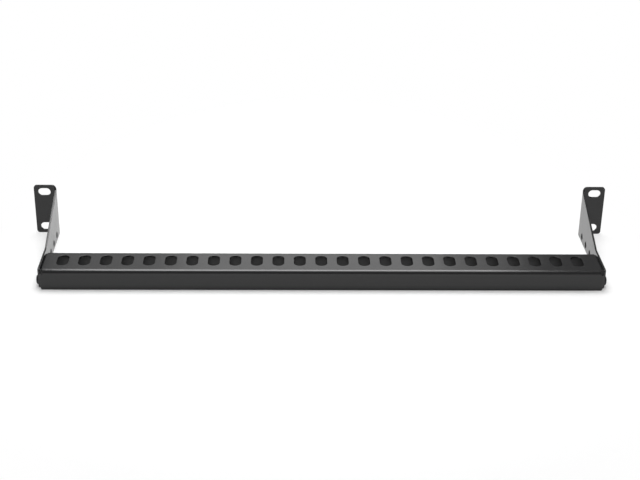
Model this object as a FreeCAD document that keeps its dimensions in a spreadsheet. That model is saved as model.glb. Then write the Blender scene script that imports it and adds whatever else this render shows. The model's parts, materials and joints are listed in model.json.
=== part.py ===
import FreeCAD, Part
import math
import os
import Sketcher

# A cable lacing bar for a 19 inch rack, one unit high: a slotted channel held out in front of the
# rack rails by two folded brackets. Millimetres. The origin is the middle of the rack's bolt pattern
# on the back of the ears, with X across the rack, Y into the rack and Z up.

doc = FreeCAD.newDocument("cable_lacing_bar")

# Driving dimensions

SIZES = {
    # Rack bolt pattern and the ears around it
    "rack_hole_across": 465.1,
    "rack_hole_rise": 31.75,
    "rack_slot_length": 10.3,
    "rack_slot_height": 6.8,
    "ear_side_edge": 8.75,
    "ear_end_edge": 5.925,
    "ear_corner": 2.5,
    # Brackets
    "bracket_sheet": 1.6,
    "bracket_bend": 1.6,
    "slot_to_arm": 3.8,
    "ear_inner_corner": 4.0,
    "slope_foot": 66.2,
    "slope_foot_corner": 3.0,
    "nose_height": 16.6,
    "nose_edge": 5.6,
    "nose_corner": 1.5,
    "seat_hole_first": 17.0,
    "seat_hole_pitch": 15.875,
    "seat_hole_count": 6,
    "seat_hole_rise": 4.8,
    "seat_hole_diameter": 5.4,
    # Lacing bar
    "bar_sheet": 1.5,
    "bar_bend": 1.7,
    "bar_height": 17.0,
    "tab_hole_edge": 8.5625,
    "end_bend": 0.6,
    "relief_margin": 0.2,
    "tab_foot_gap": 0.5,
    "flange_end_gap": 0.4,
    "flange_corner": 1.5,
    "tie_slot_width": 9.0,
    "tie_slot_length": 17.0,
    "tie_slot_pitch": 17.05,
    "tie_end_edge": 15.0,
    "tie_row_left": 1.2,
    "tie_row_back": 1.4,
    # Screws and nuts
    "thread_diameter": 4.0,
    "thread_clearance": 0.1,
    "screw_length": 8.0,
    "screw_tip_chamfer": 0.5,
    "screw_head_diameter": 7.8,
    "screw_head_height": 2.1,
    "screw_head_round": 1.4,
    "recess_span": 3.8,
    "recess_width": 0.9,
    "recess_depth": 1.3,
    "nut_across_flats": 7.0,
    "nut_height": 3.2,
    "nut_face_rim": 0.2,
    "nut_chamfer_angle": 30.0,
    # How far a cutting outline reaches past the metal
    "cut_margin": 5.0,
}

sheet = doc.addObject("Spreadsheet::Sheet", "Sizes")
for row, (name, value) in enumerate(SIZES.items(), start=1):
    sheet.set(f"A{row}", name)
    sheet.set(f"B{row}", str(value))
    sheet.setAlias(f"B{row}", name)
doc.recompute()

# Places worked out from the driving dimensions, as coordinates of the right half

PLACES = {
    # Ears
    "ear_outer_side": "Sizes.rack_hole_across / 2 + Sizes.ear_side_edge",
    "ear_top": "Sizes.rack_hole_rise / 2 + Sizes.ear_end_edge",
    "foot_level": "-Places.ear_top",
    "ear_height": "2 * Places.ear_top",
    "ear_front": "-Sizes.bracket_sheet",
    "rack_slot_half": "(Sizes.rack_slot_length - Sizes.rack_slot_height) / 2",
    "rack_slot_near": "Sizes.rack_hole_across / 2 - Places.rack_slot_half",
    "rack_slot_far": "Sizes.rack_hole_across / 2 + Places.rack_slot_half",
    "rack_slot_low": "-Sizes.rack_hole_rise / 2",
    "bracket_outer_bend": "Sizes.bracket_bend + Sizes.bracket_sheet",
    # Arms
    "arm_outer_face": "Sizes.rack_hole_across / 2 - Sizes.rack_slot_length / 2 - Sizes.slot_to_arm",
    "arm_inner_face": "Places.arm_outer_face - Sizes.bracket_sheet",
    "arm_middle": "(Places.arm_outer_face + Places.arm_inner_face) / 2",
    "ear_round_side": "Places.arm_inner_face + Sizes.ear_inner_corner",
    "ear_round_level": "Places.ear_top - Sizes.ear_inner_corner",
    "slope_head_y": "-Places.bracket_outer_bend",
    "slope_foot_y": "-Sizes.slope_foot",
    "front_seat_y": "-Sizes.seat_hole_first - Sizes.seat_hole_pitch * (Sizes.seat_hole_count - 1)",
    "rear_seat_y": "Places.front_seat_y + Sizes.seat_hole_pitch",
    "seat_hole_z": "Places.foot_level + Sizes.seat_hole_rise",
    "arm_tip": "Places.front_seat_y - Sizes.nose_edge",
    "nose_top": "Places.foot_level + Sizes.nose_height",
    "past_arm_inside": "Places.arm_inner_face - Sizes.cut_margin",
    "past_arm_tip": "Places.arm_tip - Sizes.cut_margin",
    "past_ear_top": "Places.ear_top + Sizes.cut_margin",
    # Lacing bar, seated in the two front holes of each arm
    "bar_front": "Places.front_seat_y - Sizes.tab_hole_edge",
    "bar_back": "Places.rear_seat_y + Sizes.tab_hole_edge",
    "bar_middle": "(Places.bar_front + Places.bar_back) / 2",
    "bar_top": "Places.foot_level + Sizes.bar_height",
    "bar_front_inside": "Places.bar_front + Sizes.bar_sheet",
    "bar_back_inside": "Places.bar_back - Sizes.bar_sheet",
    "bar_top_inside": "Places.bar_top - Sizes.bar_sheet",
    "bar_outer_bend": "Sizes.bar_bend + Sizes.bar_sheet",
    "flange_end": "Places.arm_inner_face - Sizes.flange_end_gap",
    # End tabs and the corner reliefs that free their bends
    "end_outer_bend": "Sizes.end_bend + Sizes.bar_sheet",
    "tab_inner_face": "Places.arm_inner_face - Sizes.bar_sheet",
    "relief_depth": "Places.bar_outer_bend + Sizes.relief_margin",
    "relief_start": "Places.arm_inner_face - Places.end_outer_bend - Sizes.relief_margin",
    "tab_front": "Places.bar_front + Places.relief_depth",
    "tab_back": "Places.bar_back - Places.relief_depth",
    "tab_foot": "Places.foot_level + Sizes.tab_foot_gap",
    "past_tab": "Places.arm_inner_face + Sizes.cut_margin",
    "past_bar_front": "Places.bar_front - Sizes.cut_margin",
    "past_bar_back": "Places.bar_back + Sizes.cut_margin",
    # Tie slots
    "tie_row_y": "Places.bar_middle + Sizes.tie_row_back",
    "tie_slot_half": "(Sizes.tie_slot_length - Sizes.tie_slot_width) / 2",
    "tie_slot_front": "Places.tie_row_y - Places.tie_slot_half",
    "tie_slot_back": "Places.tie_row_y + Places.tie_slot_half",
    "tie_row_room": "2 * (Places.arm_inner_face - Sizes.tie_end_edge)",
    "tie_row_gaps": "floor(Places.tie_row_room / Sizes.tie_slot_pitch)",
    "tie_row_start": "-Places.tie_row_gaps * Sizes.tie_slot_pitch / 2 - Sizes.tie_row_left",
    "tie_slot_count": "Places.tie_row_gaps + 1",
    # Screw, along its own axis from the face that bears on the arm
    "thread_radius": "Sizes.thread_diameter / 2",
    "screw_tip": "-Sizes.screw_length",
    "screw_tip_radius": "Places.thread_radius - Sizes.screw_tip_chamfer",
    "screw_tip_edge": "Places.screw_tip + Sizes.screw_tip_chamfer",
    "screw_head_radius": "Sizes.screw_head_diameter / 2",
    "screw_head_top": "Sizes.screw_head_height",
    "recess_reach": "Sizes.recess_span / 2",
    "recess_side": "Sizes.recess_width / 2",
    # Nut, along its own axis from the face that bears on the tab
    "nut_bore": "Sizes.thread_diameter + Sizes.thread_clearance",
    "nut_flat": "Sizes.nut_across_flats / 2",
    "nut_corner": "Sizes.nut_across_flats / sqrt(3)",
    "nut_half_corner": "Places.nut_corner / 2",
    "nut_top": "Sizes.nut_height",
    "nut_rim": "Places.nut_flat - Sizes.nut_face_rim",
    "past_nut": "Places.nut_corner + Sizes.cut_margin",
    "nut_low_chamfer": "(Places.past_nut - Places.nut_rim) * tan(Sizes.nut_chamfer_angle * 1 deg)",
    "nut_high_chamfer": "Places.nut_top - Places.nut_low_chamfer",
}

places = doc.addObject("App::VarSet", "Places")
for name in PLACES:
    places.addProperty("App::PropertyFloat", name)
for name, formula in PLACES.items():
    places.setExpression(name, formula)
doc.recompute()


def place(name):
    """Number behind a place's name; a leading minus mirrors it, and "0" is the axis."""
    if name == "0":
        return 0.0
    value = getattr(places, name.lstrip("-"))
    return -value if name.startswith("-") else value


def place_source(name):
    """Expression that ties a size or a constraint to a place."""
    mirror = "-" if name.startswith("-") else ""
    return f"{mirror}Places.{name.lstrip('-')}"


# Sketches

NORMAL = FreeCAD.Vector(0, 0, 1)


def new_sketch(body, plane, name, level=None):
    """Sketch on one of the body's own origin planes, moved along its normal to a named place."""
    sketch = body.newObject("Sketcher::SketchObject", name)
    base = next(item for item in body.Origin.OriginFeatures if item.Role == plane)
    sketch.AttachmentSupport = [(base, "")]
    sketch.MapMode = "FlatFace"
    if level:
        sketch.setExpression("AttachmentOffset.Base.z", place_source(level))
    return sketch


def spot(across, up):
    """Point of a sketch at a pair of named places."""
    return FreeCAD.Vector(place(across), place(up), 0)


def hold(sketch, point, across, up):
    """Tie a point of a sketch to a pair of named places."""
    # A sketch numbers its own upright axis -2 and its level axis -1, whose first point is its origin
    for kind, axis, name in (("DistanceX", -2, across), ("DistanceY", -1, up)):
        if name == "0":
            sketch.addConstraint(Sketcher.Constraint("PointOnObject", *point, axis))
        else:
            rule = Sketcher.Constraint(kind, -1, 1, *point, place(name))
            index = sketch.addConstraint(rule)
            sketch.setExpression(f"Constraints[{index}]", place_source(name))


def outline(sketch, corners, round_centre=None, radius_source=None):
    """Closed outline with each corner at a pair of named places. Its sides are straight, or the first
    is an arc of a bound radius that runs anticlockwise about round_centre."""
    spots = [spot(*corner) for corner in corners]
    sides = [Part.LineSegment(start, end) for start, end in zip(spots, spots[1:] + spots[:1])]
    if round_centre:
        spokes = [end - spot(*round_centre) for end in spots[:2]]
        ring = Part.Circle(spot(*round_centre), NORMAL, spokes[0].Length)
        sides[0] = Part.ArcOfCircle(ring, *(math.atan2(spoke.y, spoke.x) for spoke in spokes))
    indices = [sketch.addGeometry(side) for side in sides]
    for side, following in zip(indices, indices[1:] + indices[:1]):
        sketch.addConstraint(Sketcher.Constraint("Coincident", side, 2, following, 1))
    for side, corner in zip(indices, corners):
        hold(sketch, (side, 1), *corner)
    if round_centre:
        rule = Sketcher.Constraint("Radius", indices[0], spokes[0].Length)
        index = sketch.addConstraint(rule)
        sketch.setExpression(f"Constraints[{index}]", radius_source)


def circle(sketch, centre, diameter, diameter_source):
    """Circle of a bound diameter about a pair of named places."""
    ring = sketch.addGeometry(Part.Circle(spot(*centre), NORMAL, diameter / 2))
    index = sketch.addConstraint(Sketcher.Constraint("Diameter", ring, diameter))
    sketch.setExpression(f"Constraints[{index}]", diameter_source)
    hold(sketch, (ring, 3), *centre)


def obround(sketch, first, second, width, width_source):
    """Slot with round ends about two centres, the second to the right of the first or above it."""
    radius = width / 2
    run = spot(*second) - spot(*first)
    heading = math.atan2(run.y, run.x)
    left = FreeCAD.Vector(-math.sin(heading), math.cos(heading), 0) * radius
    first_ring = Part.Circle(spot(*first), NORMAL, radius)
    second_ring = Part.Circle(spot(*second), NORMAL, radius)
    quarter = math.pi / 2
    first_arc = Part.ArcOfCircle(first_ring, heading + quarter, heading + 3 * quarter)
    second_arc = Part.ArcOfCircle(second_ring, heading - quarter, heading + quarter)
    edges = [
        first_arc,
        Part.LineSegment(spot(*first) - left, spot(*second) - left),
        second_arc,
        Part.LineSegment(spot(*second) + left, spot(*first) + left),
    ]
    indices = [sketch.addGeometry(edge) for edge in edges]
    for edge, following in zip(indices, indices[1:] + indices[:1]):
        sketch.addConstraint(Sketcher.Constraint("Tangent", edge, 2, following, 1))
    sketch.addConstraint(Sketcher.Constraint("Equal", indices[0], indices[2]))
    index = sketch.addConstraint(Sketcher.Constraint("Radius", indices[0], radius))
    sketch.setExpression(f"Constraints[{index}]", f"{width_source} / 2")
    hold(sketch, (indices[0], 3), *first)
    hold(sketch, (indices[2], 3), *second)


# Features


def new_body(label):
    """Empty body for one physical piece."""
    body = doc.addObject("PartDesign::Body", label)
    body.Label = label
    return body


def pad(body, sketch, name, length_source, both_ways=False):
    """Raise a sketch into metal by a bound length."""
    feature = body.newObject("PartDesign::Pad", name)
    feature.Profile = sketch
    feature.SideType = "Symmetric" if both_ways else "One side"
    feature.setExpression("Length", length_source)
    doc.recompute()


def cut_through(body, sketch, name):
    """Cut a sketch right through the body, both ways from its plane."""
    feature = body.newObject("PartDesign::Pocket", name)
    feature.Profile = sketch
    feature.Type = "ThroughAll"
    feature.SideType = "Symmetric"
    doc.recompute()
    return feature


def sink(body, sketch, name, depth_source):
    """Cut a sketch down to a bound depth below its plane."""
    feature = body.newObject("PartDesign::Pocket", name)
    feature.Profile = sketch
    feature.setExpression("Length", depth_source)
    doc.recompute()


def turn(body, sketch, name, kind):
    """Turn a sketch once about its upright axis, as metal or as a cut."""
    feature = body.newObject(kind, name)
    feature.Profile = sketch
    feature.ReferenceAxis = (sketch, ["V_Axis"])
    feature.Angle = 360
    doc.recompute()


def repeat(body, cut, axis, name, pitch_source, count_source):
    """Row of copies of a cut along an axis of its own sketch."""
    feature = body.newObject("PartDesign::LinearPattern", name)
    feature.Originals = [cut]
    feature.Direction = (cut.Profile[0], [axis])
    feature.Mode = "Spacing"
    feature.setExpression("Offset", pitch_source)
    feature.setExpression("Occurrences", count_source)
    body.Tip = feature
    doc.recompute()


def round_edges(body, name, points, radius_source):
    """Round the edges of the body so far that pass through the given points."""
    base = body.Tip
    edges = base.Shape.Edges
    chosen = []
    for point in points:
        target = Part.Vertex(FreeCAD.Vector(*point))
        distances = [edge.distToShape(target)[0] for edge in edges]
        chosen.append(f"Edge{distances.index(min(distances)) + 1}")
    feature = body.newObject("PartDesign::Fillet", name)
    feature.Base = (base, chosen)
    feature.setExpression("Radius", radius_source)
    doc.recompute()


# Brackets: one sheet each, folded once between the ear and the arm


def add_bracket(label, mirror):
    """Right-hand bracket, or the left-hand one with mirror set to a minus sign."""
    body = new_body(label)
    ear_side = f"{mirror}ear_outer_side"
    inner_face = f"{mirror}arm_inner_face"
    outer_face = f"{mirror}arm_outer_face"

    plan = new_sketch(body, "XY_Plane", f"{label}_plan")
    outline(plan, [
        (ear_side, "0"),
        (inner_face, "0"),
        (inner_face, "arm_tip"),
        (outer_face, "arm_tip"),
        (outer_face, "ear_front"),
        (ear_side, "ear_front"),
    ])
    pad(body, plan, f"{label}_blank", "Places.ear_height", both_ways=True)
    outside = [(place(inner_face), 0, 0)]
    round_edges(body, f"{label}_outside_bend", outside, "Places.bracket_outer_bend")
    inside = [(place(outer_face), place("ear_front"), 0)]
    round_edges(body, f"{label}_inside_bend", inside, "Sizes.bracket_bend")

    taper = new_sketch(body, "YZ_Plane", f"{label}_taper_outline")
    outline(taper, [
        ("ear_front", "ear_top"),
        ("ear_front", "past_ear_top"),
        ("past_arm_tip", "past_ear_top"),
        ("past_arm_tip", "nose_top"),
        ("slope_foot_y", "nose_top"),
        ("slope_head_y", "ear_round_level"),
    ])
    cut_through(body, taper, f"{label}_taper")
    shoulder = new_sketch(body, "XZ_Plane", f"{label}_shoulder_outline")
    round_side = f"{mirror}ear_round_side"
    ends = [(inner_face, "ear_round_level"), (round_side, "ear_top")]
    ends.sort(key=lambda end: place(end[0]), reverse=True)
    beyond = (f"{mirror}past_arm_inside", "past_ear_top")
    centre = (round_side, "ear_round_level")
    outline(shoulder, [*ends, beyond], centre, "Sizes.ear_inner_corner")
    cut_through(body, shoulder, f"{label}_shoulder")
    middle = place(f"{mirror}arm_middle")
    foot = [(middle, place("slope_foot_y"), place("nose_top"))]
    round_edges(body, f"{label}_slope_foot", foot, "Sizes.slope_foot_corner")
    nose = [(middle, place("arm_tip"), place(level)) for level in ("nose_top", "foot_level")]
    round_edges(body, f"{label}_nose", nose, "Sizes.nose_corner")
    ear_middle = place("ear_front") / 2
    ear = [(place(ear_side), ear_middle, place(level)) for level in ("ear_top", "foot_level")]
    round_edges(body, f"{label}_ear", ear, "Sizes.ear_corner")

    rack_slot = new_sketch(body, "XZ_Plane", f"{label}_rack_slot_outline")
    centres = [(f"{mirror}{side}", "rack_slot_low") for side in ("rack_slot_near", "rack_slot_far")]
    centres.sort(key=lambda centre: place(centre[0]))
    obround(rack_slot, *centres, sheet.rack_slot_height, "Sizes.rack_slot_height")
    low_slot = cut_through(body, rack_slot, f"{label}_low_rack_slot")
    repeat(body, low_slot, "V_Axis", f"{label}_rack_slots", "Sizes.rack_hole_rise", "2")

    seat_hole = new_sketch(body, "YZ_Plane", f"{label}_seat_hole_outline")
    front_hole = ("front_seat_y", "seat_hole_z")
    circle(seat_hole, front_hole, sheet.seat_hole_diameter, "Sizes.seat_hole_diameter")
    first_hole = cut_through(body, seat_hole, f"{label}_front_seat_hole")
    pitch, count = "Sizes.seat_hole_pitch", "Sizes.seat_hole_count"
    repeat(body, first_hole, "H_Axis", f"{label}_seat_holes", pitch, count)
    return body


# Lacing bar: one sheet folded into a channel that is open underneath, with a tab down at each end


def add_lacing_bar(label):
    """Slotted channel with its end tabs against the inner faces of the arms."""
    body = new_body(label)
    section = new_sketch(body, "YZ_Plane", "bar_section")
    outline(section, [
        ("bar_front", "foot_level"),
        ("bar_front", "bar_top"),
        ("bar_back", "bar_top"),
        ("bar_back", "foot_level"),
        ("bar_back_inside", "foot_level"),
        ("bar_back_inside", "bar_top_inside"),
        ("bar_front_inside", "bar_top_inside"),
        ("bar_front_inside", "foot_level"),
    ])
    pad(body, section, "bar_channel", "2 * Places.flange_end", both_ways=True)
    outside = [(0, place(face), place("bar_top")) for face in ("bar_front", "bar_back")]
    round_edges(body, "bar_outside_bends", outside, "Places.bar_outer_bend")
    inner_faces = ("bar_front_inside", "bar_back_inside")
    inside = [(0, place(face), place("bar_top_inside")) for face in inner_faces]
    round_edges(body, "bar_inside_bends", inside, "Sizes.bar_bend")

    for hand, tab_start in (("left", "-arm_inner_face"), ("right", "tab_inner_face")):
        tab = new_sketch(body, "YZ_Plane", f"{hand}_tab_outline", level=tab_start)
        outline(tab, [
            ("tab_front", "tab_foot"),
            ("tab_front", "bar_top"),
            ("tab_back", "bar_top"),
            ("tab_back", "tab_foot"),
        ])
        pad(body, tab, f"{hand}_tab", "Sizes.bar_sheet")

    reliefs = new_sketch(body, "XY_Plane", "corner_relief_outline", level="bar_top")
    for mirror in ("-", ""):
        for past_bar, tab_side in (("past_bar_front", "tab_front"), ("past_bar_back", "tab_back")):
            outline(reliefs, [
                (f"{mirror}relief_start", past_bar),
                (f"{mirror}past_tab", past_bar),
                (f"{mirror}past_tab", tab_side),
                (f"{mirror}relief_start", tab_side),
            ])
    sink(body, reliefs, "corner_reliefs", "Places.relief_depth")
    bar_middle = place("bar_middle")
    bar_top = place("bar_top")
    outside = [(place(f"{mirror}arm_inner_face"), bar_middle, bar_top) for mirror in ("-", "")]
    round_edges(body, "end_outside_bends", outside, "Places.end_outer_bend")
    inside_top = place("bar_top_inside")
    inside = [(place(f"{mirror}tab_inner_face"), bar_middle, inside_top) for mirror in ("-", "")]
    round_edges(body, "end_inside_bends", inside, "Sizes.end_bend")
    half_sheet = sheet.bar_sheet / 2
    flange_middles = (place("bar_front") + half_sheet, place("bar_back") - half_sheet)
    feet = [
        (place(f"{mirror}flange_end"), flange_middle, place("foot_level"))
        for mirror in ("-", "")
        for flange_middle in flange_middles
    ]
    round_edges(body, "flange_foot_rounds", feet, "Sizes.flange_corner")

    tie_slot = new_sketch(body, "XY_Plane", "tie_slot_outline")
    front_end = ("tie_row_start", "tie_slot_front")
    back_end = ("tie_row_start", "tie_slot_back")
    obround(tie_slot, front_end, back_end, sheet.tie_slot_width, "Sizes.tie_slot_width")
    first_slot = cut_through(body, tie_slot, "first_tie_slot")
    repeat(body, first_slot, "H_Axis", "tie_slots", "Sizes.tie_slot_pitch", "Places.tie_slot_count")

    tab_hole = new_sketch(body, "YZ_Plane", "tab_hole_outline")
    front_hole = ("front_seat_y", "seat_hole_z")
    circle(tab_hole, front_hole, sheet.seat_hole_diameter, "Sizes.seat_hole_diameter")
    front_holes = cut_through(body, tab_hole, "front_tab_holes")
    repeat(body, front_holes, "H_Axis", "tab_holes", "Sizes.seat_hole_pitch", "2")
    return body


# Fasteners: a screw from outside each seat hole, drawn up in a nut inside the channel


def set_across(body, side_source, seat_y, quarter_turn):
    """Lay a fastener along X at a seat hole, its bearing face at a bound place."""
    body.Placement.Rotation = FreeCAD.Rotation(FreeCAD.Vector(0, 1, 0), quarter_turn)
    body.setExpression("Placement.Base.x", side_source)
    body.setExpression("Placement.Base.y", place_source(seat_y))
    body.setExpression("Placement.Base.z", place_source("seat_hole_z"))
    doc.recompute()


def add_screw(label):
    """Pan head machine screw with a cross recess, its head above its bearing face."""
    body = new_body(label)
    profile = new_sketch(body, "XZ_Plane", f"{label}_profile")
    outline(profile, [
        ("0", "screw_tip"),
        ("screw_tip_radius", "screw_tip"),
        ("thread_radius", "screw_tip_edge"),
        ("thread_radius", "0"),
        ("screw_head_radius", "0"),
        ("screw_head_radius", "screw_head_top"),
        ("0", "screw_head_top"),
    ])
    turn(body, profile, f"{label}_turned", "PartDesign::Revolution")
    rim = [(place("screw_head_radius"), 0, place("screw_head_top"))]
    round_edges(body, f"{label}_head_round", rim, "Sizes.screw_head_round")
    recess = new_sketch(body, "XY_Plane", f"{label}_recess_outline", level="screw_head_top")
    outline(recess, [
        ("recess_side", "recess_reach"),
        ("-recess_side", "recess_reach"),
        ("-recess_side", "recess_side"),
        ("-recess_reach", "recess_side"),
        ("-recess_reach", "-recess_side"),
        ("-recess_side", "-recess_side"),
        ("-recess_side", "-recess_reach"),
        ("recess_side", "-recess_reach"),
        ("recess_side", "-recess_side"),
        ("recess_reach", "-recess_side"),
        ("recess_reach", "recess_side"),
        ("recess_side", "recess_side"),
    ])
    sink(body, recess, f"{label}_recess", "Sizes.recess_depth")
    return body


def add_nut(label):
    """Hex nut with both faces chamfered, two flats level once it lies along X."""
    body = new_body(label)
    hexagon = new_sketch(body, "XY_Plane", f"{label}_hexagon")
    outline(hexagon, [
        ("0", "nut_corner"),
        ("-nut_flat", "nut_half_corner"),
        ("-nut_flat", "-nut_half_corner"),
        ("0", "-nut_corner"),
        ("nut_flat", "-nut_half_corner"),
        ("nut_flat", "nut_half_corner"),
    ])
    circle(hexagon, ("0", "0"), place("nut_bore"), "Places.nut_bore")
    pad(body, hexagon, f"{label}_blank", "Sizes.nut_height")
    chamfers = new_sketch(body, "XZ_Plane", f"{label}_chamfer_outline")
    outline(chamfers, [
        ("nut_rim", "nut_top"),
        ("past_nut", "nut_top"),
        ("past_nut", "nut_high_chamfer"),
    ])
    outline(chamfers, [
        ("nut_rim", "0"),
        ("past_nut", "0"),
        ("past_nut", "nut_low_chamfer"),
    ])
    turn(body, chamfers, f"{label}_chamfers", "PartDesign::Groove")
    return body


pieces = [
    add_bracket("left_bracket", "-"),
    add_bracket("right_bracket", ""),
    add_lacing_bar("lacing_bar"),
]
for hand, mirror, quarter_turn in (("left", "-", -90), ("right", "", 90)):
    for end, seat_y in (("front", "front_seat_y"), ("rear", "rear_seat_y")):
        screw = add_screw(f"{hand}_{end}_screw")
        set_across(screw, place_source(f"{mirror}arm_outer_face"), seat_y, quarter_turn)
        nut = add_nut(f"{hand}_{end}_nut")
        set_across(nut, place_source(f"{mirror}tab_inner_face"), seat_y, -quarter_turn)
        pieces += [screw, nut]
doc.recompute()

# Every feature has to be sound and to change its piece before any piece is written

for item in doc.Objects:
    if "Invalid" in item.State or "Error" in item.State:
        raise RuntimeError(f"{item.Label} failed: {item.State}")
for piece in pieces:
    for feature in piece.Group:
        base = getattr(feature, "BaseFeature", None)
        if base and math.isclose(feature.Shape.Volume, base.Shape.Volume, rel_tol=1e-9):
            raise RuntimeError(f"{feature.Label} changes nothing")
    if piece.Shape.isNull() or not piece.Shape.isValid() or len(piece.Shape.Solids) != 1:
        raise RuntimeError(f"{piece.Label} is not one sound solid")

os.makedirs("parts", exist_ok=True)
for piece in pieces:
    piece.Shape.exportStep(f"parts/{piece.Label}.step")
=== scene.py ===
import json
import math

import bmesh
import bpy
from mathutils import Matrix, Vector
from mathutils.geometry import delaunay_2d_cdt


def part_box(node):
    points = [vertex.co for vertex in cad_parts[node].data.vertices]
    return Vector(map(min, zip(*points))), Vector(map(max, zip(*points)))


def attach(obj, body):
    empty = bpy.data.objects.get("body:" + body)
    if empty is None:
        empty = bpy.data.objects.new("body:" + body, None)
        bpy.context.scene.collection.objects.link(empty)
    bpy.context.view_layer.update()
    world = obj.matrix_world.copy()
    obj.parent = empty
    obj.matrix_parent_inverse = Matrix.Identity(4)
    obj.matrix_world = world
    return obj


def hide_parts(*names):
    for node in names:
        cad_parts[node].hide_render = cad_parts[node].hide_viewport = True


# A cable lacing bar for a 19 inch rack: two folded brackets, a slotted channel between them, and the
# screws and nuts that hold it. The part is worked out in millimetres, and its meshes are written in
# metres. The floor and the studio are in metres throughout.
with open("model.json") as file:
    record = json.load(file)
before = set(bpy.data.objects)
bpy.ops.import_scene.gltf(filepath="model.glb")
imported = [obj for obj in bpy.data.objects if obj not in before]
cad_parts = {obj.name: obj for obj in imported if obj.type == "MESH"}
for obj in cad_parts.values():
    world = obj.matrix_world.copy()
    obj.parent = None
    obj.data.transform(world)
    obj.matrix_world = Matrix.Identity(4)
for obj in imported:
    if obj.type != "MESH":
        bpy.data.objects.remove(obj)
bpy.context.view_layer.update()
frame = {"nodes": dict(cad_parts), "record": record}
MM = 0.001


# Brackets: two blanks of 1.6 mm mild steel sheet, punched flat, then folded once between the ear that
# bolts to the rack rail and the tapered arm that reaches forward. Powder coated after folding.

rack_bolts = next(mount for mount in frame["record"]["mounts"] if mount["name"] == "rack_bolts")["dims"]
bracket_low, bracket_high = (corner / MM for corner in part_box("right_bracket"))
# The screws' middles, level with the seat holes that they go through
seats = [sum(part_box(f"right_{end}_screw"), Vector()) / 2 / MM for end in ("front", "rear")]
seat_pitch = seats[1].y - seats[0].y

BRACKET_SHEET = 1.6
BRACKET_BEND = 1.6
EAR_CORNER = 2.5
EAR_INNER_CORNER = 4.0
SLOPE_FOOT, SLOPE_FOOT_CORNER = 66.2, 3.0
NOSE_HEIGHT, NOSE_CORNER = 16.6, 1.5
SEAT_HOLE_RADIUS, SEAT_HOLE_COUNT = 2.7, 6
# Punching and the coat leave the cut edges softly rounded
BRACKET_ROLL, ROLL_STEPS = 0.12, 3
ARC_STEP = math.radians(7.5)
# Points nearer than this count as one, or as lying on a crease
SAME_POINT, ON_CREASE = 1e-6, 1e-5
LARGE_FACES_LEAD = 100


def on_circle(centre, radius, angle):
    """Point of the flat blank on a circle."""
    return Vector(centre) + radius * Vector((math.cos(angle), math.sin(angle)))


def rounded(corners):
    """Closed outline through corners (across, up, radius), with each corner rounded to its radius."""
    outline = []
    neighbours = zip(corners[-1:] + corners[:-1], corners, corners[1:] + corners[:1])
    for before, (across, up, radius), after in neighbours:
        corner = Vector((across, up))
        if not radius:
            outline.append(corner)
            continue
        back = (Vector(before[:2]) - corner).normalized()
        ahead = (Vector(after[:2]) - corner).normalized()
        half_angle = back.angle(ahead) / 2
        centre = corner + (back + ahead).normalized() * radius / math.sin(half_angle)
        spokes = [corner + side * radius / math.tan(half_angle) - centre for side in (back, ahead)]
        start, end = (math.atan2(spoke.y, spoke.x) for spoke in spokes)
        turn = (end - start + math.pi) % (2 * math.pi) - math.pi
        steps = max(1, round(abs(turn) / ARC_STEP))
        outline += [on_circle(centre, radius, start + turn * step / steps) for step in range(steps + 1)]
    return outline


def slot(first, second, radius):
    """Hole with round ends about two centres, or a round hole where they are one, run clockwise."""
    run = Vector(second) - Vector(first)
    heading = math.atan2(run.y, run.x)
    steps = math.ceil(math.pi / ARC_STEP)
    kept = steps + 1 if run.length else steps
    hole = []
    for centre, start in ((second, heading + math.pi / 2), (first, heading - math.pi / 2)):
        hole += [on_circle(centre, radius, start - math.pi * step / steps) for step in range(kept)]
    return hole


def inset(loop, distance):
    """Outline moved into the metal, which lies to the left of its direction."""
    moved = []
    for before, here, after in zip(loop[-1:] + loop[:-1], loop, loop[1:] + loop[:1]):
        sides = [(here - before).normalized(), (after - here).normalized()]
        first, second = (Vector((-side.y, side.x)) for side in sides)
        moved.append(here + (first + second) * distance / (1 + first.dot(second)))
    return moved


def fill(mesh, loops, rings):
    """Flat face between an outer loop and its holes, on the vertices already made for them."""
    points = [point for loop in loops for point in loop]
    vertices = [vertex for ring in rings for vertex in ring]
    numbers = iter(range(len(points)))
    faces = [[next(numbers) for point in loop] for loop in loops]
    holes_left_open = 2
    found = delaunay_2d_cdt(points, [], faces, holes_left_open, SAME_POINT)
    triangles, sources = found[2], found[3]
    for triangle in triangles:
        mesh.faces.new([vertices[sources[corner][0]] for corner in triangle])


def join(mesh, ring, next_ring):
    """Band of quads between two rings of as many vertices."""
    for step in range(len(ring)):
        following = (step + 1) % len(ring)
        mesh.faces.new([ring[step], ring[following], next_ring[following], next_ring[step]])


def finished(mesh, name, material):
    """Object from a mesh in millimetres, shaded smooth with its flats kept flat, riding on the frame."""
    bmesh.ops.recalc_face_normals(mesh, faces=mesh.faces)
    # A folded sheet can come out of that with all its faces turned inwards
    if mesh.calc_volume(signed=True) < 0:
        bmesh.ops.reverse_faces(mesh, faces=mesh.faces)
    bmesh.ops.scale(mesh, vec=(MM, MM, MM), verts=mesh.verts)
    data = bpy.data.meshes.new(name)
    mesh.to_mesh(data)
    mesh.free()
    data.shade_smooth()
    data.materials.append(material)
    piece = bpy.data.objects.new(name, data)
    bpy.context.scene.collection.objects.link(piece)
    flats = piece.modifiers.new("flats_stay_flat", "WEIGHTED_NORMAL")
    flats.weight = LARGE_FACES_LEAD
    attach(piece, "root")
    return piece


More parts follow.
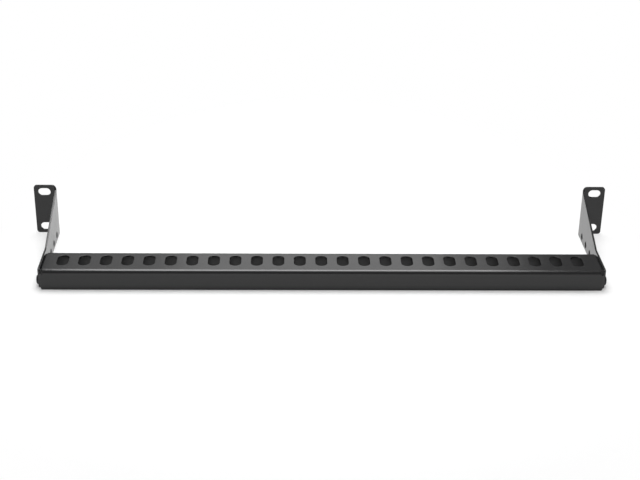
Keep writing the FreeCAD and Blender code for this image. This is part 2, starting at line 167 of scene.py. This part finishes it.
def folded_sheet(loops, thickness, edge, creases, fold):
    """Mesh of a punched blank with rounded edges, creased along (axis, place) lines and folded up."""
    mesh = bmesh.new()
    angles = [math.pi / 2 * step / ROLL_STEPS for step in range(ROLL_STEPS + 1)]
    roll = [(edge * (1 - math.sin(angle)), edge * (1 - math.cos(angle))) for angle in angles]
    section = roll + [(indent, thickness - depth) for indent, depth in reversed(roll)]
    faces = {0: [], len(section) - 1: []}
    for loop in loops:
        rings = []
        for indent, depth in section:
            rings.append([mesh.verts.new((*point, depth)) for point in inset(loop, indent)])
        for ring, next_ring in zip(rings, rings[1:]):
            join(mesh, ring, next_ring)
        for face, face_rings in faces.items():
            face_rings.append(rings[face])
    cap = [inset(loop, edge) for loop in loops]
    for face_rings in faces.values():
        fill(mesh, cap, face_rings)
    for axis, place in creases:
        normal = Vector((axis == "across", axis == "up", 0))
        bmesh.ops.bisect_plane(
            mesh,
            geom=mesh.verts[:] + mesh.edges[:] + mesh.faces[:],
            dist=ON_CREASE,
            plane_co=normal * place,
            plane_no=normal,
        )
    for vertex in mesh.verts:
        vertex.co = fold(*vertex.co)
    return mesh


def bend(distance, depth, radius, length):
    """Reach and drop of a point of the sheet, past the start of a square bend of an outer radius."""
    if distance <= 0:
        return distance, depth
    if distance >= length:
        return radius - depth, distance - length + radius
    angle = math.pi / 2 * distance / length
    return (radius - depth) * math.sin(angle), radius - (radius - depth) * math.cos(angle)


QUARTER_STEPS = 10
bracket_outer_bend = BRACKET_BEND + BRACKET_SHEET
bracket_bend_length = math.pi / 2 * (BRACKET_BEND + BRACKET_SHEET / 2)
ear_bend_x = bracket_low.x + bracket_outer_bend


def along_arm(y):
    """Place on the flat blank of a point of the arm, from where the ear's bend begins."""
    return bracket_bend_length - bracket_outer_bend - y


def fold_bracket(across, up, depth, side):
    """Point of the blank on the right-hand bracket, or on its mirror image."""
    reach, drop = bend(across, depth, bracket_outer_bend, bracket_bend_length)
    return side * (ear_bend_x - reach), bracket_high.y - drop, up


ear_side = ear_bend_x - bracket_high.x
nose_top = bracket_low.z + NOSE_HEIGHT
bend_places = [bracket_bend_length * step / QUARTER_STEPS for step in range(QUARTER_STEPS + 1)]
# The ear's inner corner is a plain round seen from the front, so its edge climbs across the bend
shoulder = []
for across in bend_places[::-1] + [bracket_outer_bend - EAR_INNER_CORNER]:
    reach = bend(across, 0, bracket_outer_bend, bracket_bend_length)[0]
    short_of_ear = EAR_INNER_CORNER - bracket_outer_bend + reach
    drop = EAR_INNER_CORNER - math.sqrt(EAR_INNER_CORNER ** 2 - short_of_ear ** 2)
    shoulder.append((across, bracket_high.z - drop, 0))
bracket_outline = rounded([
    (ear_side, bracket_low.z, EAR_CORNER),
    (along_arm(bracket_low.y), bracket_low.z, NOSE_CORNER),
    (along_arm(bracket_low.y), nose_top, NOSE_CORNER),
    (along_arm(-SLOPE_FOOT), nose_top, SLOPE_FOOT_CORNER),
    *shoulder,
    (ear_side, bracket_high.z, EAR_CORNER),
])
rack_slot_across = ear_bend_x - rack_bolts["spacing_x_mm"] / 2
rack_slot_half = rack_bolts["slot_length_mm"] / 2 - rack_bolts["hole_r_mm"]
rack_slots = [
    slot(
        (rack_slot_across - rack_slot_half, level * rack_bolts["spacing_y_mm"] / 2),
        (rack_slot_across + rack_slot_half, level * rack_bolts["spacing_y_mm"] / 2),
        rack_bolts["hole_r_mm"],
    )
    for level in (-1, 1)
]
seat_centres = [
    (along_arm(seats[0].y + seat_pitch * step), seats[0].z) for step in range(SEAT_HOLE_COUNT)
]
seat_holes = [slot(centre, centre, SEAT_HOLE_RADIUS) for centre in seat_centres]
bracket_blank = [bracket_outline, *rack_slots, *seat_holes]
bracket_creases = [("across", place) for place in bend_places]


def linear(hex_colour):
    """Linear RGBA of an sRGB colour written as six hex digits."""
    channels = [int(hex_colour[start:start + 2], 16) / 255 for start in (0, 2, 4)]
    return [c / 12.92 if c <= 0.04045 else ((c + 0.055) / 1.055) ** 2.4 for c in channels] + [1.0]


def add(tree, kind, inputs=None, **settings):
    """Node of a kind with its settings, each input set to a value or linked from an output socket."""
    made = tree.nodes.new(kind)
    for name, value in settings.items():
        setattr(made, name, value)
    for name, value in (inputs or {}).items():
        if isinstance(value, bpy.types.NodeSocket):
            tree.links.new(value, made.inputs[name])
        else:
            made.inputs[name].default_value = value
    return made


def empty_material(name):
    """New node material with no nodes yet, and its tree."""
    material = bpy.data.materials.new(name)
    material.use_nodes = True
    material.node_tree.nodes.clear()
    return material, material.node_tree


# Satin black polyester powder, sprayed and baked on steel: a deep neutral black with a soft sheen, an
# orange peel of fine dimples that breaks up reflections, and faint clouds where the film is thicker.
POWDER_BLACK, POWDER_BLACK_THICK = "0d0d0e", "131314"
POWDER_DIMPLE, POWDER_CLOUD = 0.6, 14.0
POWDER_DIMPLE_DEPTH = 0.005
POWDER_ROUGHNESS = (0.15, 0.20)
# Most of a noise's values lie between these
NOISE_LOW, NOISE_HIGH = 0.3, 0.7
# A mix node has sockets of the same names for each kind of value, so its sockets go by number
MIX_SHARE, COLOUR_A, COLOUR_B, MIXED_COLOUR = 0, 6, 7, 2
powder_coat, tree = empty_material("satin_black_powder_coat")
place = add(tree, "ShaderNodeTexCoord").outputs["Object"]
clouds = add(tree, "ShaderNodeTexNoise", {
    "Vector": place,
    "Scale": 1 / (POWDER_CLOUD * MM),
    "Detail": 4.0,
})
dimples = add(tree, "ShaderNodeTexNoise", {
    "Vector": place,
    "Scale": 1 / (POWDER_DIMPLE * MM),
    "Detail": 2.0,
})
shade = add(tree, "ShaderNodeMix", {
    MIX_SHARE: clouds.outputs["Fac"],
    COLOUR_A: linear(POWDER_BLACK),
    COLOUR_B: linear(POWDER_BLACK_THICK),
}, data_type="RGBA")
sheen = add(tree, "ShaderNodeMapRange", {
    "Value": clouds.outputs["Fac"],
    "From Min": NOISE_LOW,
    "From Max": NOISE_HIGH,
    "To Min": POWDER_ROUGHNESS[0],
    "To Max": POWDER_ROUGHNESS[1],
})
peel = add(tree, "ShaderNodeBump", {
    "Height": dimples.outputs["Fac"],
    "Distance": POWDER_DIMPLE_DEPTH * MM,
    "Strength": 1.0,
})
coat = add(tree, "ShaderNodeBsdfPrincipled", {
    "Base Color": shade.outputs[MIXED_COLOUR],
    "Roughness": sheen.outputs["Result"],
    "Normal": peel.outputs["Normal"],
    "IOR": 1.5,
})
add(tree, "ShaderNodeOutputMaterial", {"Surface": coat.outputs["BSDF"]})

for hand, side in (("left", -1), ("right", 1)):
    mesh = folded_sheet(
        bracket_blank, BRACKET_SHEET, BRACKET_ROLL, bracket_creases, lambda *spot: fold_bracket(*spot, side)
    )
    bracket = finished(mesh, f"{hand}_folded_bracket", powder_coat)
    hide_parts(f"{hand}_bracket")


# Lacing bar: one blank of 1.5 mm mild steel sheet with a punched row of tie slots, folded down along the
# front, the back and both ends into a channel that is open underneath. Same powder coat as the brackets.

bar_low, bar_high = (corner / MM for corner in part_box("lacing_bar"))
openings = frame["record"]["physics"]["openings"]
tie_boxes = [opening["box_m"] for opening in openings if opening["name"].startswith("tie_slot")]

BAR_SHEET, BAR_ROLL = 1.5, 0.3
BAR_BEND, END_BEND = 1.7, 0.6
RELIEF_MARGIN = 0.2
TAB_FOOT_GAP = 0.5
FLANGE_END_GAP, FLANGE_CORNER = 0.4, 1.5
TIE_SLOT_WIDTH, TIE_SLOT_LENGTH = 9.0, 17.0

bar_outer_bend = BAR_BEND + BAR_SHEET
bar_bend_length = math.pi / 2 * (BAR_BEND + BAR_SHEET / 2)
end_outer_bend = END_BEND + BAR_SHEET
end_bend_length = math.pi / 2 * (END_BEND + BAR_SHEET / 2)
bar_middle = (bar_low.y + bar_high.y) / 2
flat_half = (bar_high.y - bar_low.y) / 2 - bar_outer_bend
end_bend_x = bar_high.x - end_outer_bend
flange_length = bar_high.z - bar_low.z - bar_outer_bend


def below_end_bend(z):
    """Place on the flat blank of a level of the right end tab."""
    return end_bend_x + end_bend_length + bar_high.z - end_outer_bend - z


def fold_bar(across, up, depth):
    """Point of the blank on the folded bar, where up runs from the bar's middle towards its back."""
    past_flat = abs(up) - flat_half
    if past_flat > 0:
        reach, drop = bend(past_flat, depth, bar_outer_bend, bar_bend_length)
        return across, bar_middle + math.copysign(flat_half + reach, up), bar_high.z - drop
    reach, drop = bend(abs(across) - end_bend_x, depth, end_outer_bend, end_bend_length)
    return math.copysign(end_bend_x + reach, across), bar_middle + up, bar_high.z - drop


flange_end = bar_high.x - FLANGE_END_GAP
flange_foot = flat_half + bar_bend_length + flange_length
relief_start = end_bend_x - RELIEF_MARGIN
relief_foot = flat_half + bar_bend_length + RELIEF_MARGIN
tab_half = flat_half - RELIEF_MARGIN
tab_end = below_end_bend(bar_low.z + TAB_FOOT_GAP)
# A quarter of the blank: the flange's end, the notch that frees the corner for folding, and the end tab
front_right = [
    (flange_end, -flange_foot, FLANGE_CORNER),
    (flange_end, -relief_foot, 0),
    (relief_start, -relief_foot, 0),
    (relief_start, -tab_half, 0),
    (tab_end, -tab_half, 0),
]
right_half = front_right + [(across, -up, radius) for across, up, radius in reversed(front_right)]
left_half = [(-across, up, radius) for across, up, radius in reversed(right_half)]
bar_outline = rounded(right_half + left_half)
tie_half = (TIE_SLOT_LENGTH - TIE_SLOT_WIDTH) / 2
tie_slots = []
for low, high in tie_boxes:
    across = (low[0] + high[0]) / 2 / MM
    up = (low[1] + high[1]) / 2 / MM - bar_middle
    tie_slots.append(slot((across, up - tie_half), (across, up + tie_half), TIE_SLOT_WIDTH / 2))
tab_holes = []
for seat in seats:
    for side in (-1, 1):
        centre = (side * below_end_bend(seat.z), seat.y - bar_middle)
        tab_holes.append(slot(centre, centre, SEAT_HOLE_RADIUS))
bar_blank = [bar_outline, *tie_slots, *tab_holes]
bar_creases = []
for step in range(QUARTER_STEPS + 1):
    for side in (-1, 1):
        bar_creases.append(("up", side * (flat_half + bar_bend_length * step / QUARTER_STEPS)))
        bar_creases.append(("across", side * (end_bend_x + end_bend_length * step / QUARTER_STEPS)))
mesh = folded_sheet(bar_blank, BAR_SHEET, BAR_ROLL, bar_creases, fold_bar)
bar = finished(mesh, "folded_lacing_bar", powder_coat)
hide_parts("lacing_bar")


# Screws: M4 pan head machine screws with a cross recess, cold headed and thread rolled from steel wire,
# then black zinc plated. Two on each side go through the arm's front seat holes and the bar's end tab.

THREAD_RADIUS, THREAD_DEPTH, THREAD_PITCH = 2.0, 0.4, 0.7
# The thread's V is cut off flat at crest and root, each time by this share of the depth
THREAD_CUT_OFF = 0.1
HEAD_RADIUS, HEAD_HEIGHT, HEAD_ROUND = 3.9, 2.1, 1.4
SCREW_LENGTH, TIP_CHAMFER, HEAD_EDGE = 8.0, 0.5, 0.2
RECESS_SPAN, RECESS_WIDTH, RECESS_DEPTH = 3.8, 0.9, 1.3
# The recess narrows to one share at its bottom, and its corners are round by the other of an arm's width
RECESS_TAPER, RECESS_ROUNDING = 0.55, 0.2
SPOKES = 48
THREAD_STEPS = 8

# Black zinc: a thin smoky chromate film over bright plating, dark grey and faintly uneven, with a
# metallic glint on every edge and fine tool marks from heading.
ZINC_DARK, ZINC_PALE = "2b2c2e", "47484a"
ZINC_CLOUD, ZINC_MARK = 1.6, 0.25
ZINC_MARK_DEPTH = 0.006
ZINC_ROUGHNESS = (0.28, 0.44)
black_zinc, tree = empty_material("black_zinc_plated_steel")
place = add(tree, "ShaderNodeTexCoord").outputs["Object"]
clouds = add(tree, "ShaderNodeTexNoise", {
    "Vector": place,
    "Scale": 1 / (ZINC_CLOUD * MM),
    "Detail": 5.0,
})
marks = add(tree, "ShaderNodeTexNoise", {
    "Vector": place,
    "Scale": 1 / (ZINC_MARK * MM),
    "Detail": 3.0,
})
shade = add(tree, "ShaderNodeMix", {
    MIX_SHARE: clouds.outputs["Fac"],
    COLOUR_A: linear(ZINC_DARK),
    COLOUR_B: linear(ZINC_PALE),
}, data_type="RGBA")
sheen = add(tree, "ShaderNodeMapRange", {
    "Value": clouds.outputs["Fac"],
    "From Min": NOISE_LOW,
    "From Max": NOISE_HIGH,
    "To Min": ZINC_ROUGHNESS[0],
    "To Max": ZINC_ROUGHNESS[1],
})
scratches = add(tree, "ShaderNodeBump", {
    "Height": marks.outputs["Fac"],
    "Distance": ZINC_MARK_DEPTH * MM,
    "Strength": 1.0,
})
plating = add(tree, "ShaderNodeBsdfPrincipled", {
    "Base Color": shade.outputs[MIXED_COLOUR],
    "Metallic": 1.0,
    "Roughness": sheen.outputs["Result"],
    "Normal": scratches.outputs["Normal"],
})
add(tree, "ShaderNodeOutputMaterial", {"Surface": plating.outputs["BSDF"]})


def wheel(mesh, radius, level):
    """Ring of vertices about the screw's axis, its radius a number or a function of the turn."""
    ring = []
    for spoke in range(SPOKES):
        turn = spoke / SPOKES
        reach = radius(turn) if callable(radius) else radius
        angle = 2 * math.pi * turn
        ring.append(mesh.verts.new((reach * math.cos(angle), reach * math.sin(angle), level)))
    return ring


def thread_radius(turn, level):
    """Radius of the rolled thread at a turn and a level below the head, chamfered at the tip."""
    wave = abs(2 * ((level / THREAD_PITCH - turn) % 1) - 1)
    sunk = (1 + 2 * THREAD_CUT_OFF) * wave - THREAD_CUT_OFF
    flank = THREAD_RADIUS - THREAD_DEPTH * min(1, max(0, sunk))
    return min(flank, THREAD_RADIUS - TIP_CHAMFER + level + SCREW_LENGTH)


def cross(span, width):
    """Outline of the driver recess, its arms' ends and inner corners slightly rounded."""
    reach, side = span / 2, width / 2
    quarter = [Vector((side, side)), Vector((reach, side)), Vector((reach, -side))]
    corners = [Matrix.Rotation(-math.pi / 2 * arm, 2) @ corner for arm in range(4) for corner in quarter]
    return rounded([(*corner, width * RECESS_ROUNDING) for corner in reversed(corners)])


def pan_head_screw():
    """Screw along Z, its head above the level of its bearing face."""
    mesh = bmesh.new()
    levels = round(SCREW_LENGTH / THREAD_PITCH * THREAD_STEPS)
    rings = []
    for step in range(levels + 1):
        level = -SCREW_LENGTH * (1 - step / levels)
        rings.append(wheel(mesh, lambda turn: thread_radius(turn, level), level))
    mesh.faces.new(rings[0])
    rings.append(wheel(mesh, HEAD_RADIUS - HEAD_EDGE, 0))
    rings.append(wheel(mesh, HEAD_RADIUS, HEAD_EDGE))
    for step in range(QUARTER_STEPS + 1):
        angle = math.pi / 2 * step / QUARTER_STEPS
        radius = HEAD_RADIUS - HEAD_ROUND * (1 - math.cos(angle))
        rings.append(wheel(mesh, radius, HEAD_HEIGHT - HEAD_ROUND * (1 - math.sin(angle))))
    for ring, next_ring in zip(rings, rings[1:]):
        join(mesh, ring, next_ring)
    mouth = cross(RECESS_SPAN, RECESS_WIDTH)
    bottom = cross(RECESS_SPAN * RECESS_TAPER, RECESS_WIDTH * RECESS_TAPER)
    mouth_ring = [mesh.verts.new((*point, HEAD_HEIGHT)) for point in mouth]
    bottom_ring = [mesh.verts.new((*point, HEAD_HEIGHT - RECESS_DEPTH)) for point in bottom]
    rim = [vertex.co.xy for vertex in rings[-1]]
    fill(mesh, [rim, mouth], [rings[-1], mouth_ring])
    join(mesh, mouth_ring, bottom_ring)
    fill(mesh, [bottom], [bottom_ring])
    return mesh


for hand, side in (("left", -1), ("right", 1)):
    lay_down = Matrix.Rotation(side * math.pi / 2, 4, "Y")
    for end, seat in zip(("front", "rear"), seats):
        bearing = Vector((side * (bracket_low.x + BRACKET_SHEET), seat.y, seat.z))
        mesh = pan_head_screw()
        bmesh.ops.transform(mesh, matrix=Matrix.Translation(bearing) @ lay_down, verts=mesh.verts)
        screw = finished(mesh, f"{hand}_{end}_pan_head_screw", black_zinc)
        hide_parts(f"{hand}_{end}_screw")


# Nuts: M4 hex nuts, pressed and tapped from steel and black zinc plated as the screws are. They sit
# inside the channel against its end tabs, and keep the shape that they have in the frame.

for hand in ("left", "right"):
    for end in ("front", "rear"):
        frame["nodes"][f"{hand}_{end}_nut"].material_slots[0].material = black_zinc


# Floor: a wide sheet of matt white paper. Around the part it takes the light and the soft shadow, and
# further out it runs into an even white background on every side.

FLOOR_WHITE, BACKGROUND_WHITE = "f5f5f5", "ffffff"
FLOOR_HALF = 6.0
PAPER_FIBRE, PAPER_TOOTH = 0.8, 0.02
LIT_REACH, WHITE_REACH, NEAR_WHITE = 0.30, 0.42, 0.2
# The white sets in nearer beyond the part's two ends than before and behind it
REACH_SHAPE = (1.5, 1.0, 1.0)


def background_rays(tree):
    """Socket that is 1 on rays that show the background, straight, mirrored or through glass."""
    ray = add(tree, "ShaderNodeLightPath")
    mirrored = add(tree, "ShaderNodeMath", {
        0: ray.outputs["Is Camera Ray"],
        1: ray.outputs["Is Glossy Ray"],
    }, operation="MAXIMUM")
    seen = add(tree, "ShaderNodeMath", {
        0: mirrored.outputs["Value"],
        1: ray.outputs["Is Transmission Ray"],
    }, operation="MAXIMUM")
    return seen.outputs["Value"]


paper, tree = empty_material("matt_white_paper")
place = add(tree, "ShaderNodeTexCoord").outputs["Object"]
fibres = add(tree, "ShaderNodeTexNoise", {
    "Vector": place,
    "Scale": 1 / (PAPER_FIBRE * MM),
    "Detail": 3.0,
})
tooth = add(tree, "ShaderNodeBump", {
    "Height": fibres.outputs["Fac"],
    "Distance": PAPER_TOOTH * MM,
})
matt = add(tree, "ShaderNodeBsdfDiffuse", {
    "Color": linear(FLOOR_WHITE),
    "Normal": tooth.outputs["Normal"],
})
white = add(tree, "ShaderNodeEmission", {"Color": linear(BACKGROUND_WHITE), "Strength": 1.0})
shaped = add(tree, "ShaderNodeVectorMath", {0: place, 1: REACH_SHAPE}, operation="MULTIPLY")
reach = add(tree, "ShaderNodeVectorMath", {0: shaped.outputs["Vector"]}, operation="LENGTH")
far = add(tree, "ShaderNodeMapRange", {
    "Value": reach.outputs["Value"],
    "From Min": LIT_REACH,
    "From Max": WHITE_REACH,
    "To Min": NEAR_WHITE,
}, interpolation_type="SMOOTHSTEP")
share = add(tree, "ShaderNodeMath", {
    0: far.outputs["Result"],
    1: background_rays(tree),
}, operation="MULTIPLY")
mixed = add(tree, "ShaderNodeMixShader", {
    0: share.outputs["Value"],
    1: matt.outputs["BSDF"],
    2: white.outputs["Emission"],
})
add(tree, "ShaderNodeOutputMaterial", {"Surface": mixed.outputs["Shader"]})

floor_level = bar_low.z * MM
floor_data = bpy.data.meshes.new("floor")
corners = [(-1, -1), (1, -1), (1, 1), (-1, 1)]
floor_data.from_pydata([(x * FLOOR_HALF, y * FLOOR_HALF, 0) for x, y in corners], [], [(0, 1, 2, 3)])
floor_data.materials.append(paper)
floor = bpy.data.objects.new("floor", floor_data)
floor.location = (0, bar_middle * MM, floor_level)
bpy.context.scene.collection.objects.link(floor)


# Studio: grey walls above a white horizon, a large soft box overhead with a weaker one before and one
# behind it, and far back a black flag with three panels in front of it, one before the other, whose
# reflection in the bar's top is bright in the middle and fades towards both ends.

# Brightness of the walls and of the flag in reflections, and of the fill light from all around
WALL_GREY, FLAG_BLACK, FILL_LIGHT = 0.42, 0.01, 0.05
# Of a direction of length 1: how far back the walls end and the flag starts, and how high the horizon
# ends and the walls start
WALL_END, FLAG_START = 0.68, 0.80
HORIZON_TOP, WALL_FOOT = -0.02, 0.03
NUMBER_A, NUMBER_B, MIXED_NUMBER = 2, 3, 0
world = bpy.data.worlds.new("studio")
world.use_nodes = True
tree = world.node_tree
tree.nodes.clear()
heading = add(tree, "ShaderNodeTexCoord").outputs["Generated"]
way = add(tree, "ShaderNodeSeparateXYZ", {"Vector": heading})
wall = add(tree, "ShaderNodeMapRange", {
    "Value": way.outputs["Y"],
    "From Min": WALL_END,
    "From Max": FLAG_START,
    "To Min": WALL_GREY,
    "To Max": FLAG_BLACK,
}, interpolation_type="SMOOTHSTEP")
glow = add(tree, "ShaderNodeMapRange", {
    "Value": way.outputs["Z"],
    "From Min": HORIZON_TOP,
    "From Max": WALL_FOOT,
    "To Min": 1.0,
    "To Max": wall.outputs["Result"],
}, interpolation_type="SMOOTHSTEP")
level = add(tree, "ShaderNodeMix", {
    MIX_SHARE: background_rays(tree),
    NUMBER_A: FILL_LIGHT,
    NUMBER_B: glow.outputs["Result"],
})
shown = add(tree, "ShaderNodeMix", {
    MIX_SHARE: add(tree, "ShaderNodeLightPath").outputs["Is Camera Ray"],
    NUMBER_A: level.outputs[MIXED_NUMBER],
    NUMBER_B: 1.0,
})
backdrop = add(tree, "ShaderNodeBackground", {
    "Color": linear(BACKGROUND_WHITE),
    "Strength": shown.outputs[MIXED_NUMBER],
})
add(tree, "ShaderNodeOutputWorld", {"Surface": backdrop.outputs["Background"]})
bpy.context.scene.world = world

part_middle = Vector((0, bar_middle * MM, floor_level))


def soft_box(name, place, width, height, brightness):
    """Rectangular lamp that faces the part, as bright as a surface of that many times white."""
    lamp = bpy.data.lights.new(name, "AREA")
    lamp.shape = "RECTANGLE"
    lamp.size, lamp.size_y = width, height
    lamp.energy = brightness * math.pi * width * height
    holder = bpy.data.objects.new(name, lamp)
    holder.location = place
    holder.rotation_euler = (part_middle - Vector(place)).to_track_quat("-Z", "Y").to_euler()
    holder.visible_camera = False
    bpy.context.scene.collection.objects.link(holder)


soft_box("overhead_soft_box", place=(-0.02, 0.22, 1.20), width=0.80, height=0.72, brightness=9.0)
soft_box("front_soft_box", place=(-0.02, -0.35, 1.20), width=0.80, height=0.44, brightness=3.2)
soft_box("rear_soft_box", place=(-0.05, 0.98, 1.00), width=0.90, height=0.40, brightness=3.2)
soft_box("back_panel", place=(0.05, 1.70, 0.91), width=1.70, height=0.50, brightness=0.28)
soft_box("back_panel_middle", place=(-0.03, 1.69, 0.91), width=1.08, height=0.50, brightness=0.52)
soft_box("back_panel_core", place=(0.03, 1.68, 0.91), width=0.61, height=0.50, brightness=0.70)


# Camera: at the photograph's place and with its frame, from a fit of the rack slots and of the edges of
# the ears and the bar. It looks down on the bar from in front, from a little left of its middle.

CAMERA_PLACE = (-28.91, -1043.04, 484.26)
CAMERA_PITCH, CAMERA_YAW, CAMERA_ROLL = (math.radians(angle) for angle in (26.203, 1.585, 0.87))
FOCAL_PIXELS, PICTURE_WIDTH = 1350.6, 640
SENSOR_WIDTH = 36.0
camera_data = bpy.data.cameras.new("camera")
camera_data.sensor_fit = "HORIZONTAL"
camera_data.sensor_width = SENSOR_WIDTH
camera_data.lens = FOCAL_PIXELS / PICTURE_WIDTH * SENSOR_WIDTH
camera = bpy.data.objects.new("camera", camera_data)
turned = Matrix.Rotation(-CAMERA_YAW, 4, "Z")
tipped = Matrix.Rotation(math.pi / 2 - CAMERA_PITCH, 4, "X")
rolled = Matrix.Rotation(CAMERA_ROLL, 4, "Z")
camera.matrix_world = Matrix.Translation(Vector(CAMERA_PLACE) * MM) @ turned @ tipped @ rolled
bpy.context.scene.collection.objects.link(camera)
bpy.context.scene.camera = camera
bpy.context.scene.view_settings.view_transform = "Standard"
